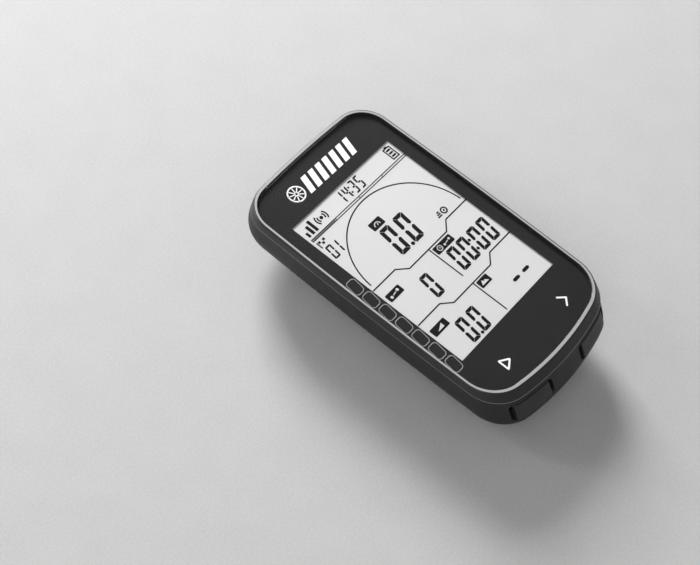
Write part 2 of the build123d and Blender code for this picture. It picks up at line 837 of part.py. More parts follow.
with BuildPart() as charge_port_gasket:
    with BuildSketch(Plane.XY.offset(pad_top_z)):
        with Locations((0, port_y)):
            SlotOverall(port_width + 2 * gasket_margin, port_height + 2 * gasket_margin)
            SlotOverall(port_width, port_height, mode=Mode.SUBTRACT)
    extrude(amount=gasket_thickness)
save(charge_port_gasket, "charge_port_gasket")

# ---- flap over the port, and the tether that holds it ----
flap_end_x = flap_recess_length / 2 - flap_gap
flap_half_width = flap_recess_width / 2 - flap_gap
flap_axis_z = back_z + flap_thickness / 2
with BuildPart() as charge_port_flap:
    with BuildSketch(Plane.XY.offset(back_z)):
        with Locations((0, port_y)):
            RectangleRounded(2 * flap_end_x, 2 * flap_half_width, flap_recess_corner - flap_gap)
        with Locations((flap_hinge_x, port_y)):
            Rectangle(body_width, flap_recess_width, align=(Align.MAX, Align.CENTER), mode=Mode.SUBTRACT)
    extrude(amount=flap_thickness)
    # The hinged end is round about the hinge line.
    with BuildSketch(Plane.XZ.offset(-port_y - flap_half_width)):
        with Locations((flap_hinge_x, flap_axis_z)):
            Circle(flap_thickness / 2)
    extrude(amount=2 * flap_half_width)
    # Plug that sits in the mouth of the port.
    with BuildSketch(Plane.XY.offset(back_z + flap_thickness)):
        with Locations((0, port_y)):
            SlotOverall(flap_plug_length, flap_plug_width)
    extrude(amount=flap_plug_height)
save(charge_port_flap, "charge_port_flap")

with BuildPart() as flap_tether:
    with BuildSketch(Plane.XY.offset(back_z)):
        with Locations((0, port_y)):
            RectangleRounded(2 * flap_end_x, 2 * flap_half_width, flap_recess_corner - flap_gap)
        with Locations((tether_x, port_y)):
            Rectangle(body_width, flap_recess_width, align=(Align.MIN, Align.CENTER), mode=Mode.SUBTRACT)
    extrude(amount=flap_recess_depth)
    with BuildSketch(Plane.XY.offset(recess_z)):
        with Locations((tether_post_x, port_y)):
            Circle(tether_post_radius)
    extrude(amount=floor_thickness / 2)
save(flap_tether, "flap_tether")

# ---- quarter-turn insert and its screws ----
insert_top_z = back_z - insert_plinth
insert_screw_tip_z = floor_z - insert_screw_cover - screw_tip_gap
with BuildPart() as mount_insert:
    with BuildSketch(Plane.XY):
        with Locations((0, insert_y)):
            Circle(insert_radius)
    extrude(amount=insert_top_z)
    with BuildSketch(Plane.XY.offset(tab_bottom)):
        with Locations((0, insert_y)):
            Circle(tab_radius)
            Rectangle(2 * tab_radius, 2 * tab_half_width, mode=Mode.INTERSECT)
    extrude(amount=tab_thickness)
    # Detent stops on the tabs, a shallow dish and the screw seats.
    with BuildSketch(Plane.YZ.offset(insert_edge - tab_radius)):
        with Locations((insert_y, tab_bottom + tab_thickness)):
            Circle(tab_stop_radius)
    extrude(amount=tab_radius - insert_radius)
    with BuildSketch(Plane.YZ.offset(tab_radius - insert_edge)):
        with Locations((insert_y, tab_bottom + tab_thickness)):
            Circle(tab_stop_radius)
    extrude(amount=insert_radius - tab_radius)
    with BuildSketch(Plane.XY):
        with Locations((0, insert_y)):
            Circle(insert_dish_radius)
    extrude(amount=insert_dish_depth, mode=Mode.SUBTRACT)
    with BuildSketch(Plane.XY):
        with Locations((0, insert_y)):
            with PolarLocations(insert_screw_pitch / 2 * sqrt(2), 4, 45):
                Circle(insert_screw_radius + insert_screw_gap)
    extrude(amount=insert_top_z, mode=Mode.SUBTRACT)
    with BuildSketch(Plane.XY):
        with Locations((0, insert_y)):
            with PolarLocations(insert_screw_pitch / 2 * sqrt(2), 4, 45):
                Circle(insert_screw_head + insert_screw_gap)
    extrude(amount=insert_screw_recess + insert_screw_head_height, mode=Mode.SUBTRACT)
    chamfer(mount_insert.faces().sort_by(Axis.Z)[0].outer_wire().edges(), insert_edge)
save(mount_insert, "mount_insert")

with BuildPart() as mount_screws:
    with BuildSketch(Plane.XY.offset(insert_screw_recess)):
        with Locations((0, insert_y)):
            with PolarLocations(insert_screw_pitch / 2 * sqrt(2), 4, 45):
                Circle(insert_screw_head)
    extrude(amount=insert_screw_head_height)
    with BuildSketch(Plane.XY.offset(insert_screw_recess + insert_screw_head_height)):
        with Locations((0, insert_y)):
            with PolarLocations(insert_screw_pitch / 2 * sqrt(2), 4, 45):
                Circle(insert_screw_radius - insert_screw_fit)
    extrude(amount=insert_screw_tip_z - insert_screw_recess - insert_screw_head_height)
    with BuildSketch(Plane.XY.offset(insert_screw_recess)):
        with Locations((0, insert_y)):
            with PolarLocations(insert_screw_pitch / 2 * sqrt(2), 4, 45):
                RegularPolygon(insert_screw_socket, 6)
    extrude(amount=insert_screw_socket, mode=Mode.SUBTRACT)
save(mount_screws, "mount_screws")


# ---- keys, each with its O-ring, clip, switch and plunger ----
def make_key(plane, length, height, proud):
    cap_form = outer_form.moved(Location(plane.z_dir * -proud))
    back_axis = Axis(plane.offset(-key_back_gap).origin, plane.z_dir)
    with BuildPart() as key:
        with BuildSketch(plane.offset(-key_back_gap)):
            Rectangle(length, height)
        extrude(amount=-4 * wall)
        add(cap_form, mode=Mode.INTERSECT)
        # Every edge but those round the cap's back.
        front_edges = key.edges() - key.edges().filter_by_position(back_axis, -edge_slack, edge_slack)
        fillet(front_edges, key_edge_round)
        with BuildSketch(plane.offset(-key_back_gap)):
            Circle(key_post_radius)
        extrude(amount=key_back_gap + key_wall + post_reach)
        with BuildSketch(plane.offset(key_wall + clip_gap)):
            Circle(key_post_radius)
            Circle(clip_groove_radius, mode=Mode.SUBTRACT)
        extrude(amount=clip_thickness, mode=Mode.SUBTRACT)
    return key


def make_o_ring(plane):
    with BuildPart() as o_ring:
        with BuildSketch(Plane(origin=plane.origin, x_dir=plane.x_dir, z_dir=plane.y_dir)) as section:
            with Locations((key_post_radius + o_ring_fit + o_ring_section, -o_ring_section)):
                Circle(o_ring_section)
        revolve(axis=Axis(plane.origin, plane.z_dir))
    return o_ring


def make_clip(plane):
    with BuildPart() as clip:
        with BuildSketch(plane.offset(key_wall + clip_gap)):
            Circle(clip_radius)
            Circle(clip_groove_radius, mode=Mode.SUBTRACT)
            with Locations((0, -clip_radius)):
                Rectangle(clip_mouth, 2 * clip_radius, mode=Mode.SUBTRACT)
        extrude(amount=clip_thickness)
    return clip


def make_switch(plane):
    front = key_wall + post_reach + plunger_proud
    with BuildPart() as switch:
        with BuildSketch(plane.offset(front)):
            with Locations((0, key_axis_height)):
                Rectangle(switch_width, switch_height, align=(Align.CENTER, Align.MAX))
        extrude(amount=switch_depth)
        with BuildSketch(plane.offset(front)):
            Circle(plunger_radius + plunger_fit)
        extrude(amount=plunger_length - plunger_proud + key_travel + plunger_spare, mode=Mode.SUBTRACT)
    return switch


def make_plunger(plane):
    with BuildPart() as plunger:
        with BuildSketch(plane.offset(key_wall + post_reach)):
            Circle(plunger_radius)
        extrude(amount=plunger_length)
    return plunger


for name, plane, length, height, proud in key_sets:
    save(make_key(plane, length, height, proud), f"{name}_key")
    save(make_o_ring(plane), f"{name}_key_o_ring")
    save(make_clip(plane), f"{name}_key_clip")
    save(make_switch(plane), f"{name}_switch")
    save(make_plunger(plane), f"{name}_switch_plunger")
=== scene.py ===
import json
from math import cos, pi, radians, sin, tan

import bmesh
import bpy
from mathutils import Matrix, Quaternion, Vector


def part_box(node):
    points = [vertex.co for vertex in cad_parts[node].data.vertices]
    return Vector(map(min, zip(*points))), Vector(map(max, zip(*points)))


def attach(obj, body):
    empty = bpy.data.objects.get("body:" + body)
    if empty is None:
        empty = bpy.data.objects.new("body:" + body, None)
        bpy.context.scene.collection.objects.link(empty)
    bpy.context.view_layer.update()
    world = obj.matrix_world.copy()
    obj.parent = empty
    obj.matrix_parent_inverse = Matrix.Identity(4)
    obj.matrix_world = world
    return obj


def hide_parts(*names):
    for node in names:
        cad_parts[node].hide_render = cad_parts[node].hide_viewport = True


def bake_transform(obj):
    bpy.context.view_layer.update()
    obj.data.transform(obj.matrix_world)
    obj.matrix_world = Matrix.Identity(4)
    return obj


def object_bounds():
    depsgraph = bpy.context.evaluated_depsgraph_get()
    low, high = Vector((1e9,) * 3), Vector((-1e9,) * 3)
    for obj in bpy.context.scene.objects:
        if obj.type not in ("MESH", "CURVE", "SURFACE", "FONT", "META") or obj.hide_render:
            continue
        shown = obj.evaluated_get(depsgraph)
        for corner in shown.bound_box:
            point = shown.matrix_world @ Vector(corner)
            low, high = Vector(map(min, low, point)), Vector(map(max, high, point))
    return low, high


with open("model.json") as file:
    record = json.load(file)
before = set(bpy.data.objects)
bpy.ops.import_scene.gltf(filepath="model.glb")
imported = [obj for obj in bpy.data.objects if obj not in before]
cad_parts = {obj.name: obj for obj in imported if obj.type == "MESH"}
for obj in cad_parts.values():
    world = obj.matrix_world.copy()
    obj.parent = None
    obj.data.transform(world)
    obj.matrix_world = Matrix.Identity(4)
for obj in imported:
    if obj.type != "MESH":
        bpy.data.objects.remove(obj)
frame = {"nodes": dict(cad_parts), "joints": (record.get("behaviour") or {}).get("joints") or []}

# Handlebar cycling computer. Flat artwork is laid out in millimetres and scaled once it is a mesh.
mm = 0.001
scene = bpy.context.scene
nodes = frame["nodes"]
cadLow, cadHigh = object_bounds()

print("stage: camera, lamps and world")

cameraSettings = {
    "lens": 85.64,
    "sensor": 36.0,
    "distance": 403.8,
    "turn": -63.81,  # degrees round the object, 0 looks along +Y
    "height": 57.18,
    "roll": 15.36,
    "aim": (-21.0, 9.9, 8.5),  # from the middle of the object
    "near": 10.0,
}


def grey(value):
    return (value, value, value, 1)


def pointAt(obj, target):
    obj.rotation_mode = "QUATERNION"
    obj.rotation_quaternion = (target - obj.location).to_track_quat("-Z", "Y")


def makeCamera(settings):
    data = bpy.data.cameras.new("productCamera")
    data.lens = settings["lens"]
    data.sensor_width = settings["sensor"]
    data.clip_start = settings["near"] * mm
    camera = bpy.data.objects.new("productCamera", data)
    scene.collection.objects.link(camera)
    turn = radians(settings["turn"])
    height = radians(settings["height"])
    back = Vector((sin(turn) * cos(height), -cos(turn) * cos(height), sin(height)))
    target = (cadLow + cadHigh) / 2 + Vector(settings["aim"]) * mm
    camera.location = target + back * settings["distance"] * mm
    pointAt(camera, target)
    roll = Quaternion((0, 0, 1), radians(settings["roll"]))
    camera.rotation_quaternion = camera.rotation_quaternion @ roll
    scene.camera = camera


makeCamera(cameraSettings)

lampSettings = {
    # name: place from the object's middle in metres, width and length in metres, watts
    "keyLamp": ((0.42, 0.72, 0.42), (0.34, 0.34), 15.0),
    "fillLamp": ((-0.55, -0.20, 0.60), (0.60, 0.60), 1.5),
    "rimLamp": ((-0.30, 0.60, 0.25), (0.10, 0.50), 2.2),
}


def makeLamps(settings):
    middle = (cadLow + cadHigh) / 2
    for name, (place, size, power) in settings.items():
        data = bpy.data.lights.new(name, "AREA")
        data.shape = "RECTANGLE"
        data.size, data.size_y = size
        data.energy = power
        lamp = bpy.data.objects.new(name, data)
        scene.collection.objects.link(lamp)
        lamp.location = middle + Vector(place)
        pointAt(lamp, middle)


makeLamps(lampSettings)

worldSettings = {"tone": 0.86, "strength": 0.36}


def makeWorld(settings):
    world = bpy.data.worlds.new("studioWorld")
    world.use_nodes = True
    sky = world.node_tree.nodes["Background"].inputs
    sky["Color"].default_value = grey(settings["tone"])
    sky["Strength"].default_value = settings["strength"]
    scene.world = world


makeWorld(worldSettings)
scene.view_settings.view_transform = "Standard"

print("stage: finishes")


def startFinish(name):
    material = bpy.data.materials.new(name)
    material.use_nodes = True
    graph = material.node_tree
    place = graph.nodes.new("ShaderNodeTexCoord").outputs["Object"]
    return material, graph, graph.nodes["Principled BSDF"], place


def stretched(graph, place, scale):
    mapping = graph.nodes.new("ShaderNodeMapping")
    mapping.inputs["Scale"].default_value = scale
    graph.links.new(place, mapping.inputs["Vector"])
    return mapping.outputs["Vector"]


def noise(graph, place, size, detail=3.0, roughness=0.55):
    # size is the width of one blotch or grain in millimetres
    node = graph.nodes.new("ShaderNodeTexNoise")
    node.inputs["Scale"].default_value = 1 / (size * mm)
    node.inputs["Detail"].default_value = detail
    node.inputs["Roughness"].default_value = roughness
    graph.links.new(place, node.inputs["Vector"])
    return node.outputs["Fac"]


def cells(graph, place, size):
    node = graph.nodes.new("ShaderNodeTexVoronoi")
    node.inputs["Scale"].default_value = 1 / (size * mm)
    graph.links.new(place, node.inputs["Vector"])
    return node.outputs["Distance"]


def spread(graph, value, low, high, dark, light):
    # value from low to high becomes a number from dark to light
    node = graph.nodes.new("ShaderNodeMapRange")
    node.inputs["From Min"].default_value = low
    node.inputs["From Max"].default_value = high
    node.inputs["To Min"].default_value = dark
    node.inputs["To Max"].default_value = light
    graph.links.new(value, node.inputs["Value"])
    return node.outputs["Result"]


def blendColours(graph, share, first, second):
    node = graph.nodes.new("ShaderNodeMix")
    node.data_type = "RGBA"
    graph.links.new(share, node.inputs["Factor"])
    for socket, colour in ((node.inputs["A"], first), (node.inputs["B"], second)):
        if isinstance(colour, tuple):
            socket.default_value = colour
        else:
            graph.links.new(colour, socket)
    return node.outputs["Result"]


def addBump(graph, shader, height, depth, strength=0.6):
    node = graph.nodes.new("ShaderNodeBump")
    node.inputs["Strength"].default_value = strength
    node.inputs["Distance"].default_value = depth * mm
    graph.links.new(height, node.inputs["Height"])
    graph.links.new(node.outputs["Normal"], shader.inputs["Normal"])


def edgeShare(graph, width, flat=0.98, sharp=0.80, samples=4):
    # 1 along sharp edges, 0 on open faces; flat and sharp say how alike the two normals are there
    soft = graph.nodes.new("ShaderNodeBevel")
    soft.samples = samples
    soft.inputs["Radius"].default_value = width * mm
    surface = graph.nodes.new("ShaderNodeNewGeometry")
    compare = graph.nodes.new("ShaderNodeVectorMath")
    compare.operation = "DOT_PRODUCT"
    graph.links.new(soft.outputs["Normal"], compare.inputs[0])
    graph.links.new(surface.outputs["Normal"], compare.inputs[1])
    return spread(graph, compare.outputs["Value"], flat, sharp, 0, 1)


def bandShare(graph, place, low, high):
    # 1 between two heights in metres, 0 elsewhere
    parts = graph.nodes.new("ShaderNodeSeparateXYZ")
    graph.links.new(place, parts.inputs["Vector"])
    compare = graph.nodes.new("ShaderNodeMath")
    compare.operation = "COMPARE"
    compare.inputs[1].default_value = (low + high) / 2
    compare.inputs[2].default_value = (high - low) / 2
    graph.links.new(parts.outputs["Z"], compare.inputs[0])
    return compare.outputs["Value"]


def mouldedFinish(name, tone, worn, grain, gloss, edge=0.12, highlightBands=()):
    # Moulded plastic: spark-eroded grain, faint mottling, rubbed patches, worn edges, and bands of painted
    # highlight.
    material, graph, shader, place = startFinish(name)
    mottling = spread(graph, noise(graph, place, 7.0), 0.3, 0.7, 0, 1)
    body = blendColours(graph, mottling, grey(tone * 0.86), grey(tone * 1.14))
    body = blendColours(graph, edgeShare(graph, edge), body, grey(worn))
    # painted highlight: light bands mixed into the colour between given heights
    for low, high, highlightTone in highlightBands:
        body = blendColours(graph, bandShare(graph, place, low, high), body, grey(highlightTone))
    graph.links.new(body, shader.inputs["Base Color"])
    rubs = noise(graph, stretched(graph, place, (1, 2, 1)), 5.0, 5.0)
    graph.links.new(spread(graph, rubs, 0.35, 0.7, gloss + 0.04, gloss - 0.04), shader.inputs["Roughness"])
    addBump(graph, shader, cells(graph, place, grain), grain * 0.12)
    return material


def rubberFinish(name, tone, gloss=0.72):
    # Rubber: dull bloom in patches, fine pitting and a soft sheen.
    material, graph, shader, place = startFinish(name)
    bloom = spread(graph, noise(graph, place, 2.4, 5.0), 0.35, 0.75, 0, 1)
    graph.links.new(blendColours(graph, bloom, grey(tone), grey(tone * 1.6)), shader.inputs["Base Color"])
    graph.links.new(spread(graph, bloom, 0, 1, gloss - 0.1, gloss + 0.1), shader.inputs["Roughness"])
    shader.inputs["Sheen Weight"].default_value = 0.15
    addBump(graph, shader, noise(graph, place, 0.12, 4.0), 0.02)
    return material


def metalFinish(name, colour, gloss, streak=(1, 14, 1)):
    # Plated or stamped metal: drawn streaks, stained patches and small pits.
    material, graph, shader, place = startFinish(name)
    shader.inputs["Metallic"].default_value = 1.0
    streaks = noise(graph, stretched(graph, place, streak), 0.9, 6.0)
    stain = spread(graph, noise(graph, place, 2.0), 0.4, 0.75, 0, 1)
    dull = tuple(part * 0.72 for part in colour[:3]) + (1,)
    graph.links.new(blendColours(graph, stain, colour, dull), shader.inputs["Base Color"])
    graph.links.new(spread(graph, streaks, 0.3, 0.7, gloss - 0.07, gloss + 0.12), shader.inputs["Roughness"])
    addBump(graph, shader, streaks, 0.008, 0.4)
    return material


def inkFinish(name, dark, light, gloss, speck=0.22, shine=0.5):
    # Screen-printed ink: fine orange peel, a faint cloud and print specks.
    material, graph, shader, place = startFinish(name)
    shader.inputs["Specular IOR Level"].default_value = shine
    cloud = spread(graph, noise(graph, place, 11.0), 0.3, 0.7, 0, 1)
    specks = spread(graph, noise(graph, place, speck, 2.0), 0.35, 0.7, 0, 1)
    base = blendColours(graph, cloud, grey(dark), grey(light))
    lifted = blendColours(graph, cloud, grey(dark * 1.12), grey(light * 1.1))
    graph.links.new(blendColours(graph, specks, base, lifted), shader.inputs["Base Color"])
    graph.links.new(spread(graph, specks, 0, 1, gloss - 0.04, gloss + 0.06), shader.inputs["Roughness"])
    addBump(graph, shader, specks, 0.004, 0.5)
    return material


def lensFinish(name):
    # Clear lens with a fine anti-glare etch on its reflection.
    material, graph, shader, place = startFinish(name)
    shader.inputs["Base Color"].default_value = grey(1.0)
    shader.inputs["Metallic"].default_value = 1.0
    etch = noise(graph, place, 0.09, 3.0)
    smears = noise(graph, stretched(graph, place, (1, 2.5, 1)), 9.0, 5.0)
    graph.links.new(spread(graph, smears, 0.35, 0.7, 0.12, 0.18), shader.inputs["Roughness"])
    addBump(graph, shader, etch, 0.003, 0.4)
    clear = graph.nodes.new("ShaderNodeBsdfTransparent")
    clear.inputs["Color"].default_value = grey(0.97)
    # The reflection grows towards grazing, and alike on both sides of the glass.
    grazing = graph.nodes.new("ShaderNodeLayerWeight")
    grazing.inputs["Blend"].default_value = 0.5
    steep = graph.nodes.new("ShaderNodeMath")
    steep.operation = "POWER"
    steep.inputs[1].default_value = 4.0
    graph.links.new(grazing.outputs["Facing"], steep.inputs[0])
    mix = graph.nodes.new("ShaderNodeMixShader")
    graph.links.new(spread(graph, steep.outputs["Value"], 0, 1, 0.009, 0.5), mix.inputs["Fac"])
    graph.links.new(clear.outputs["BSDF"], mix.inputs[1])
    graph.links.new(shader.outputs["BSDF"], mix.inputs[2])
    graph.links.new(mix.outputs["Shader"], graph.nodes["Material Output"].inputs["Surface"])
    return material


def displayFinish(name, dark, light):
    # Reflective display: a grained diffuser behind the film, with a slow change of brightness.
    material, graph, shader, place = startFinish(name)
    slow = spread(graph, noise(graph, place, 30.0, 1.0), 0.3, 0.7, 0, 1)
    fibres = spread(graph, noise(graph, stretched(graph, place, (1, 6, 1)), 0.5, 4.0), 0.3, 0.7, 0, 1)
    base = blendColours(graph, slow, grey(dark), grey(light))
    graph.links.new(blendColours(graph, fibres, base, grey(light)), shader.inputs["Base Color"])
    graph.links.new(spread(graph, fibres, 0, 1, 0.5, 0.62), shader.inputs["Roughness"])
    addBump(graph, shader, fibres, 0.002, 0.3)
    return material


def boardFinish(name):
    # Circuit board: solder mask over copper runs, with plated via holes.
    material, graph, shader, place = startFinish(name)
    runs = graph.nodes.new("ShaderNodeTexBrick")
    runs.inputs["Scale"].default_value = 260
    runs.inputs["Mortar Size"].default_value = 0.02
    runs.inputs["Color1"].default_value = (0.010, 0.050, 0.028, 1)
    runs.inputs["Color2"].default_value = (0.008, 0.040, 0.022, 1)
    runs.inputs["Mortar"].default_value = (0.025, 0.12, 0.06, 1)
    graph.links.new(place, runs.inputs["Vector"])
    vias = spread(graph, cells(graph, place, 1.9), 0.10, 0.13, 1, 0)
    gold = (0.75, 0.55, 0.22, 1)
    graph.links.new(blendColours(graph, vias, runs.outputs["Color"], gold), shader.inputs["Base Color"])
    graph.links.new(spread(graph, noise(graph, place, 1.5), 0.3, 0.7, 0.28, 0.42), shader.inputs["Roughness"])
    addBump(graph, shader, vias, 0.02, 0.4)
    return material


# Painted highlights: a light line painted on top of the housing's lip, and a fine one just above the parting
# line, where lamps catch the rounded edges.
highlightBandSettings = {
    # how far each band reaches below and above its height in millimetres, and the tone of its painted
    # highlight
    "rim": (0.003, 0.05, 0.34),
    "parting": (0.0, 0.09, 0.30),
}


def highlightBandLimits(name, height):
    below, above, tone = highlightBandSettings[name]
    return height - below * mm, height + above * mm, tone


# painted highlight bands for the housing's lip and parting line
paintedHighlightBands = (
    highlightBandLimits("rim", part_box("upper_housing")[1].z),
    highlightBandLimits("parting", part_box("housing_seal")[1].z),
)

finishes = {
    "lens_glass": lensFinish("clearLens"),
    "border_ink": inkFinish("borderInk", 0.015, 0.019, 0.55, shine=0.1),
    "adhesive": rubberFinish("blackAdhesive", 0.02),
    "housing_plastic": mouldedFinish("housingPlastic", 0.018, 0.05, 0.16, 0.42, highlightBands=paintedHighlightBands),
    "casing_plastic": mouldedFinish("casingPlastic", 0.015, 0.034, 0.20, 0.54),
    "seal_rubber": rubberFinish("sealRubber", 0.015),
    "display_film": displayFinish("displayFilm", 0.64, 0.69),
    "display_glass": displayFinish("displayGlass", 0.50, 0.56),
    "diffuser_plastic": displayFinish("diffuserPlastic", 0.78, 0.86),
    "frame_plastic": mouldedFinish("framePlastic", 0.55, 0.62, 0.25, 0.45),
    "flex_film": metalFinish("flexFilm", (0.62, 0.36, 0.12, 1), 0.40),
    "connector_plastic": mouldedFinish("connectorPlastic", 0.60, 0.66, 0.15, 0.40),
    "board": boardFinish("circuitBoard"),
    "screw_steel": metalFinish("screwSteel", grey(0.16), 0.34),
    "shield_metal": metalFinish("shieldMetal", grey(0.62), 0.30),
    "chip_plastic": mouldedFinish("chipPlastic", 0.022, 0.05, 0.12, 0.50),
    "antenna_ceramic": inkFinish("antennaCeramic", 0.48, 0.58, 0.45),
    "membrane_film": inkFinish("membraneFilm", 0.70, 0.78, 0.60),
    "contact_brass": metalFinish("contactBrass", (0.80, 0.58, 0.26, 1), 0.25),
    "battery_foil": metalFinish("batteryFoil", grey(0.60), 0.38, (6, 1, 1)),
    "lead_insulation": rubberFinish("leadInsulation", 0.05, 0.45),
    "port_steel": metalFinish("portSteel", grey(0.55), 0.24),
    "flap_rubber": rubberFinish("flapRubber", 0.022),
    "insert_plastic": mouldedFinish("insertPlastic", 0.018, 0.042, 0.22, 0.50),
    "key_plastic": mouldedFinish("keyPlastic", 0.020, 0.045, 0.14, 0.44),
    "plunger_plastic": mouldedFinish("plungerPlastic", 0.60, 0.66, 0.12, 0.35),
}
segmentInk = inkFinish("segmentInk", 0.004, 0.006, 0.50, shine=0.1)
whiteInk = inkFinish("whiteInk", 0.84, 0.90, 0.55)
dimInk = inkFinish("dimInk", 0.20, 0.24, 0.55)
halfInk = inkFinish("halfInk", 0.10, 0.13, 0.50)

for node in nodes.values():
    for holder in node.material_slots:
        holder.material = finishes[holder.material.name.split(".")[0]]

print("stage: print and display artwork")


def addPiece(name, mesh, finish, body="housing"):
    mesh.materials.clear()
    mesh.materials.append(finish)
    piece = bpy.data.objects.new(name, mesh)
    scene.collection.objects.link(piece)
    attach(piece, body)
    return piece


def cleaned(mesh, gap=1e-7):
    work = bmesh.new()
    work.from_mesh(mesh)
    bmesh.ops.remove_doubles(work, verts=work.verts, dist=gap)
    bmesh.ops.recalc_face_normals(work, faces=work.faces)
    work.to_mesh(mesh)
    work.free()
    return mesh


def evaluatedMesh(holder):
    mesh = bpy.data.meshes.new_from_object(holder.evaluated_get(bpy.context.evaluated_depsgraph_get()))
    bpy.data.objects.remove(holder)
    return mesh


def flatPiece(name, loops, centre, bottom, height, finish):
    # A filled plate from closed loops; a loop inside another is a hole.
    curve = bpy.data.curves.new(name + "Outline", "CURVE")
    curve.dimensions = "2D"
    curve.fill_mode = "BOTH"
    curve.extrude = height / 2
    for loop in loops:
        spline = curve.splines.new("POLY")
        spline.points.add(len(loop) - 1)
        for point, (x, y) in zip(spline.points, loop):
            point.co = (x, y, 0, 1)
        spline.use_cyclic_u = True
    holder = bpy.data.objects.new(name + "Outline", curve)
    scene.collection.objects.link(holder)
    mesh = evaluatedMesh(holder)
    mesh.transform(Matrix.Scale(mm, 4))
    mesh.transform(Matrix.Translation((centre.x, centre.y, bottom + height / 2 * mm)))
    return addPiece(name, cleaned(mesh), finish)


def rounded(points, reach, steps=4, limit=0.48):
    # Each corner becomes a short curve that starts and ends this far from it, up to a share of its sides.
    loop = []
    count = len(points)
    for i, corner in enumerate(points):
        corner = Vector(corner)
        before = Vector(points[i - 1]) - corner
        after = Vector(points[(i + 1) % count]) - corner
        start = corner + before.normalized() * min(reach, before.length * limit)
        end = corner + after.normalized() * min(reach, after.length * limit)
        for step in range(steps + 1):
            t = step / steps
            loop.append(tuple(start * (1 - t) ** 2 + corner * 2 * t * (1 - t) + end * t**2))
    return loop


def box(left, right, bottom, top, reach=0.0):
    points = [(left, bottom), (right, bottom), (right, top), (left, top)]
    return rounded(points, reach) if reach else points


def ringPoints(x, y, radius, steps=28):
    angles = [2 * pi * step / steps for step in range(steps)]
    return [(x + radius * cos(angle), y + radius * sin(angle)) for angle in angles]


def stroke(points, width, closed=False):
    # The outline of a line of this width, with mitred corners.
    count = len(points)
    left, right = [], []
    for i, point in enumerate(points):
        point = Vector(point)
        into = point - Vector(points[i - 1]) if closed or i > 0 else None
        out = Vector(points[(i + 1) % count]) - point if closed or i < count - 1 else None
        sides = [Vector((-d.y, d.x)).normalized() for d in (into, out) if d is not None]
        mitre = sum(sides, Vector((0, 0)))
        mitre = mitre * (width / (mitre.dot(sides[0]) * 2))
        left.append(tuple(point + mitre))
        right.append(tuple(point - mitre))
    return [left, right] if closed else [left + right[::-1]]


def moved(loops, x, y, scale=1.0):
    return [[(x + px * scale, y + py * scale) for px, py in loop] for loop in loops]


digitSettings = {
    "slant": 6.5,
    # as shares of the stroke: the gap at the corners and at the waist, and the cut-off outer corners
    "corner": 0.05,
    "waist": 0.16,
    "cut": 0.45,
    "lit": {"0": "abcdef", "1": "bc", "3": "abcdg", "4": "bcfg", "5": "acdfg"},
}


def digit(figure, left, right, bottom, top, line):
    # The lit segments of one slanted seven-segment figure.
    height = top - bottom
    lean = tan(radians(digitSettings["slant"]))
    wide = right - left - height * lean
    mid = height / 2
    half = line / 2
    gap = line * digitSettings["corner"]
    waist = line * digitSettings["waist"]
    cut = line * digitSettings["cut"]
    bar = [
        (cut, height),
        (wide - cut, height),
        (wide - cut / 2 - gap, height - cut / 2),
        (wide - line - gap, height - line),
        (line + gap, height - line),
        (cut / 2 + gap, height - cut / 2),
    ]
    shapes = {
        "a": bar,
        "d": [(x, height - y) for x, y in bar],
        "g": [
            (half + waist, mid),
            (line + waist, mid + half),
            (wide - line - waist, mid + half),
            (wide - half - waist, mid),
            (wide - line - waist, mid - half),
            (line + waist, mid - half),
        ],
    }
    upper = [
        (0, height - cut),
        (cut / 2, height - cut / 2 - gap),
        (line, height - line - gap),
        (line, mid + half + waist),
        (half, mid + waist),
        (0, mid + waist + half * 0.5),
    ]
    shapes["f"] = upper
    shapes["b"] = [(wide - x, y) for x, y in upper]
    shapes["e"] = [(x, height - y) for x, y in upper]
    shapes["c"] = [(wide - x, height - y) for x, y in upper]
    return [
        [(left + x + y * lean, bottom + y) for x, y in shapes[name]]
        for name in digitSettings["lit"][figure]
    ]


# Places on the display, in millimetres from the middle of its window.
displaySettings = {
    "lift": 0.004,
    "height": 0.02,
    "shift": 0.25,
    "signal": [(-18.1, -17.35, 23.5), (-16.75, -15.85, 24.8), (-15.35, -14.45, 25.65)],
    "signalBase": 21.95,
    "clock": [("1", -3.8, -2.35), ("4", -2.1, -0.05), ("3", 0.55, 2.6), ("5", 2.8, 4.9)],
    "clockRows": (21.9, 25.95),
    "progress": (-18.4, 18.7, 20.4, 21.3),
    "progressMarks": (-9.25, 0.1, 9.35),
    "progressGap": 0.15,
    "progressLine": 0.26,
    "progressFillGap": 0.02,
    "lap": [("0", -18.3, -15.95), ("1", -15.6, -14.1)],
    "lapRows": (13.3, 17.45),
    "speed": [("0", -5.8, -1.25), ("0", -0.5, 4.15)],
    "speedRows": (2.05, 10.85),
    "timer": [("0", 1.65, 5.4), ("0", 5.6, 9.35), ("0", 9.95, 13.7), ("0", 13.9, 17.65)],
    "distance": [("0", -9.35, -5.6)],
    "middleRows": (-11.85, -4.85),
    "grade": [("0", -13.2, -9.45), ("0", -8.85, -5.1)],
    "gradeRows": (-25.95, -18.85),
    "figures": [
        # group, the rows it stands in, width of its strokes
        ("clock", "clockRows", 0.50),
        ("lap", "lapRows", 0.50),
        ("speed", "speedRows", 1.15),
        ("timer", "middleRows", 0.92),
        ("distance", "middleRows", 0.92),
        ("grade", "gradeRows", 0.92),
    ],
    "dotSteps": 16,
    "dots": [
        (0.35, 24.75, 0.3), (0.1, 23.1, 0.3), (-1.15, 2.55, 0.55),
        (9.65, -7.1, 0.45), (9.35, -10.15, 0.45), (-9.35, -25.5, 0.46),
    ],
    "dashes": [(7.7, 10.4, -22.45), (11.6, 14.3, -22.45)],
    "dashHeight": 0.95,
    "line": 0.36,
    "dividers": ((1.0, -1.4), (-13.0, -15.35)),
    "dividerKnees": (19.05, 10.4, 7.6),
    "middleX": 0.1,
    "middleLines": ((-12.35, -1.62), (-26.0, -15.57)),
}


